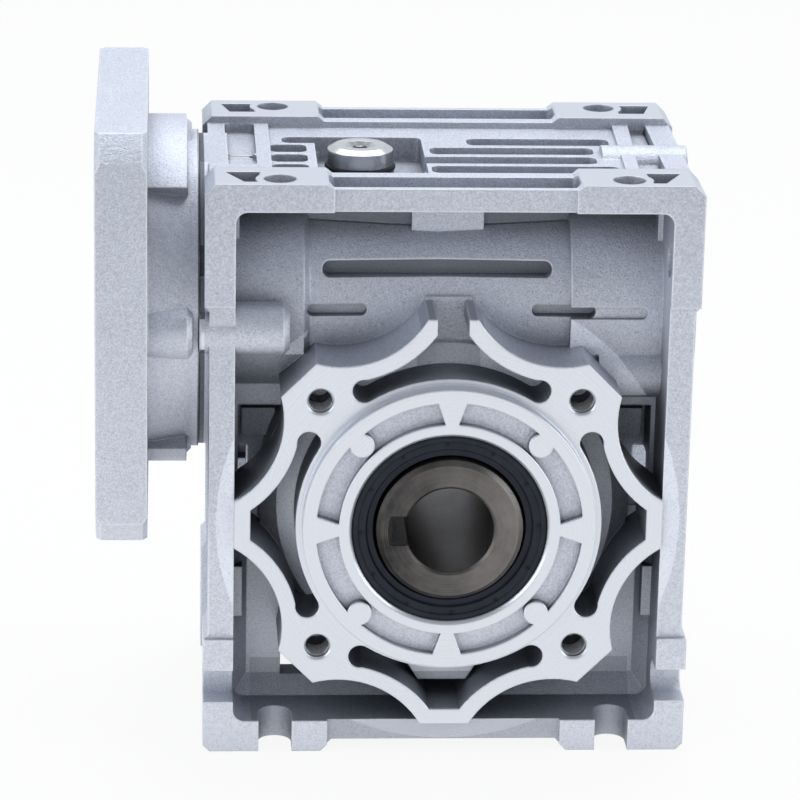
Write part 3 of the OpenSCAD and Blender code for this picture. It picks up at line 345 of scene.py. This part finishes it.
def rubberMaterial(name):
    values = rubberValues
    paint = Paint(bpy.data.materials.new(name))
    x, y, z = paint.place()
    fine = paint.noise(values["fine"], 2.0, 0.5)
    dust = paint.noise(values["dust"], 4.0, 0.65)
    dusty = (dust * values["dustSlope"] + values["dustShade"]).clamped()
    colour = paint.mixColour(dusty, values["clean"], values["dusty"])
    count = dotValues["count"]
    step = z.math("ARCTAN2", x) * (count / 2.0 / math.pi) + dotValues["phase"] + float(count)
    across = (step.math("FRACT") - 0.5) * (2.0 * math.pi / count) * dotValues["ring"]
    out = radius(x, z) - dotValues["ring"]
    dot = (radius(across, out) < dotValues["size"]) * (abs(y) > dotValues["start"])
    colour = paint.mixColour(dot * dotValues["dark"], colour, dotValues["colour"])
    soft = paint.rounded(4, values["edge"])
    normal = paint.bump(fine - dot * dotValues["depth"], values["bump"], values["bumpReach"], soft)
    return paint.finish({
        "Base Color": colour, "Roughness": values["rough"] + (dust - 0.5) * values["roughDust"],
        "Specular IOR Level": values["specular"], "Normal": normal})


finishes = {
    "housing": castMaterial("castHousing", housingCut),
    "side_cover": castMaterial("castCover", coverCut),
    "input_flange": castMaterial("castFlange", flangeCut),
    "hollow_shaft": turnedSteel(
        "oiledShaft", "y", ((0.02, 0.02, 0.021, 1.0), (0.25, 0.235, 0.225, 1.0)),
        rough=0.36, metal=0.9, bumpy=0.6, brighterRight=0.022),
    "worm_shaft": turnedSteel(
        "groundWorm", "x", ((0.42, 0.42, 0.42, 1.0), (0.62, 0.62, 0.62, 1.0)),
        rough=0.26, metal=0.95, bumpy=0.25),
    "worm_wheel_rim": plainMetal(
        "hobbedBronze", ((0.42, 0.24, 0.08, 1.0), (0.72, 0.48, 0.20, 1.0)),
        rough=0.3, grain=900.0),
}
zincPlate = plainMetal(
    "zincPlate", ((0.52, 0.53, 0.54, 1.0), (0.74, 0.75, 0.76, 1.0)), rough=0.24, grain=1300.0)
bySlot = {
    "zinc_plated_steel": zincPlate,
    "bearing_steel": plainMetal(
        "bearingSteel", ((0.50, 0.50, 0.51, 1.0), (0.66, 0.66, 0.67, 1.0)),
        rough=0.18, grain=1500.0),
    "dark_steel": plainMetal(
        "springSteel", ((0.08, 0.08, 0.085, 1.0), (0.17, 0.165, 0.16, 1.0)),
        rough=0.38, grain=1100.0),
    "black_rubber": rubberMaterial("nitrileRubber"),
}
slots = {part["node"]: part["material_slot"] for part in frame["record"]["subparts"]}
for nodeName in frame["nodes"]:
    piece = bpy.data.objects[nodeName]
    piece.data.materials.clear()
    piece.data.materials.append(finishes.get(nodeName) or bySlot[slots[nodeName]])
print("materials on", len(frame["nodes"]), "nodes")


# Threads in the eight tapped holes of both output faces, in millimetres and turns

threadValues = {
    "front": 2.52, "back": 2.77, "height": 0.24, "pitch": 1.0, "turns": 6, "steps": 28,
    "root": 0.42, "crest": 0.07,  # half widths, as shares of the pitch
    "face": 35.5, "start": 0.9, "circle": 37.5, "merge": 0.001,
}


def holeThread(name, centre, direction, core):
    deselectAll()
    bpy.ops.mesh.primitive_plane_add(size=1.0)
    coil = bpy.context.object
    coil.name = name
    pitch = threadValues["pitch"]
    crest = core - threadValues["height"]
    root, tip = threadValues["root"] * pitch, threadValues["crest"] * pitch
    corners = [(core, -root), (core, root), (crest, -tip), (crest, tip)]
    for vertex, (reach, height) in zip(coil.data.vertices, corners):
        vertex.co = Vector((reach * mm, 0.0, height * mm))
    screw = coil.modifiers.new("coil", "SCREW")
    screw.axis = "Z"
    screw.angle = 2.0 * math.pi * threadValues["turns"]
    screw.screw_offset = -pitch * mm * threadValues["turns"]
    screw.steps = screw.render_steps = threadValues["steps"] * threadValues["turns"]
    screw.use_normal_calculate = True
    bpy.ops.object.modifier_apply(modifier="coil")
    turn = Vector((0.0, 0.0, 1.0)).rotation_difference(Vector(direction)).to_matrix().to_4x4()
    coil.data.transform(Matrix.Translation(Vector(centre) * mm) @ turn)
    bpy.ops.object.mode_set(mode="EDIT")
    bpy.ops.mesh.select_all(action="SELECT")
    bpy.ops.mesh.remove_doubles(threshold=threadValues["merge"] * mm)
    bpy.ops.mesh.normals_make_consistent(inside=False)
    bpy.ops.object.mode_set(mode="OBJECT")
    coil.data.materials.append(zincPlate)
    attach(coil, "reducer")
    deselectAll()


boltReach = threadValues["circle"] * math.cos(math.radians(45.0))
depth = threadValues["face"] - threadValues["start"]
for number, (sideX, sideZ) in enumerate([(-1, -1), (1, -1), (1, 1), (-1, 1)]):
    for side, sideY in (("front", -1), ("back", 1)):
        holeThread("%s_hole_thread_%d" % (side, number),
                   (sideX * boltReach, sideY * depth, sideZ * boltReach), (0, sideY, 0),
                   threadValues[side])
print("threads cut")


# Studio: floor, backdrop, lamps and camera, in metres

floorValues = {
    "size": 6.0, "height": -0.05005, "paper": (0.86, 0.865, 0.875, 1.0), "glow": 0.9,
    "white": (1.0, 1.0, 1.0, 1.0), "strength": 1.0,
}
deselectAll()
bpy.ops.mesh.primitive_plane_add(size=floorValues["size"],
                                 location=(0.0, 0.0, floorValues["height"]))
sheet = bpy.context.object
sheet.name = "studioFloor"
paint = Paint(bpy.data.materials.new("studioFloorPaper"))
lightPath = paint.add("ShaderNodeLightPath").outputs
seen = Value(paint, lightPath["Is Camera Ray"]) + Value(paint, lightPath["Is Reflection Ray"]) \
    + Value(paint, lightPath["Is Transmission Ray"])
paper = paint.node("ShaderNodeBsdfDiffuse", None, {"Color": floorValues["paper"]})
glow = paint.node("ShaderNodeEmission", None, {
    "Color": floorValues["white"], "Strength": floorValues["strength"]})
mixed = paint.node("ShaderNodeMixShader", None,
                   [seen.clamped() * floorValues["glow"], paper, glow])
paint.add("ShaderNodeOutputMaterial", None, {"Surface": mixed})
sheet.data.materials.append(paint.owner)
deselectAll()

studioValues = {
    "front": 0.34, "backdrop": 0.85, "from": -0.2, "to": 0.7, "tint": (0.90, 0.94, 1.0, 1.0),
    "white": (1.0, 1.0, 1.0, 1.0),
}
world = bpy.data.worlds.new("studio")
bpy.context.scene.world = world
sky = Paint(world)
along = sky.parts(sky.spot("Generated"))[1]
backWall = sky.node("ShaderNodeMapRange", {"interpolation_type": "SMOOTHSTEP"}, [
    along, studioValues["from"], studioValues["to"],
    studioValues["front"], studioValues["backdrop"]])  # the paper curves up behind the object
dome = sky.node("ShaderNodeBackground", None, [studioValues["tint"], backWall])
white = sky.node("ShaderNodeBackground", None, [studioValues["white"], 1.0])
direct = sky.node("ShaderNodeLightPath", output="Is Camera Ray")
mixed = sky.node("ShaderNodeMixShader", None, [direct, dome, white])
sky.add("ShaderNodeOutputWorld", None, {"Surface": mixed})

lampTarget = Vector((0.0, 0.0, 0.01))
lampValues = {  # place, size, power, colour, whether steel and cut faces mirror it
    "overhead": ((0.0, 0.25, 0.85), (0.9, 0.7), 4.5, (0.97, 0.98, 1.0), True),
    "leftSide": ((-1.0, -0.35, 0.3), (0.6, 0.9), 4.0, (0.95, 0.97, 1.0), True),
    "rightSide": ((1.0, -0.35, 0.3), (0.6, 0.9), 4.0, (0.97, 0.98, 1.0), True),
    "frontFill": ((-0.35, -0.95, -0.02), (0.9, 0.7), 7.0, (0.97, 0.98, 1.0), False),
}
for lampName, (lampPlace, lampSize, lampPower, lampColour, mirrored) in lampValues.items():
    lampData = bpy.data.lights.new(lampName, "AREA")
    lampData.shape = "RECTANGLE"
    lampData.size, lampData.size_y = lampSize
    lampData.energy = lampPower
    lampData.color = lampColour
    lamp = bpy.data.objects.new(lampName, lampData)
    bpy.context.scene.collection.objects.link(lamp)
    lamp.location = lampPlace
    lamp.visible_glossy = mirrored
    lamp.rotation_euler = (lampTarget - Vector(lampPlace)).to_track_quat("-Z", "Y").to_euler()

cameraValues = {  # the photograph's view: the camera's axes, then millimetres and pixels
    "right": (0.9982, -0.056626, 0.019753), "up": (-0.00113, 0.311551, 0.950229),
    "back": (-0.059962, -0.948541, 0.310926), "target": (-8.27315, 0.0, 15.27953),
    "distance": 826.26541, "focalPixels": 3908.88472, "widthPixels": 800.0, "sensor": 36.0,
}
cameraData = bpy.data.cameras.new("photoCamera")
cameraData.sensor_fit = "HORIZONTAL"
cameraData.sensor_width = cameraValues["sensor"]
cameraData.lens = cameraValues["focalPixels"] * cameraValues["sensor"] / cameraValues["widthPixels"]
camera = bpy.data.objects.new("photoCamera", cameraData)
bpy.context.scene.collection.objects.link(camera)
spin = Matrix((cameraValues["right"], cameraValues["up"], cameraValues["back"])).transposed()
stand = Vector(cameraValues["target"]) + Vector(cameraValues["back"]) * cameraValues["distance"]
camera.matrix_world = Matrix.Translation(stand * mm) @ spin.to_4x4()
bpy.context.scene.camera = camera
bpy.context.scene.view_settings.view_transform = "Standard"
print("studio ready")
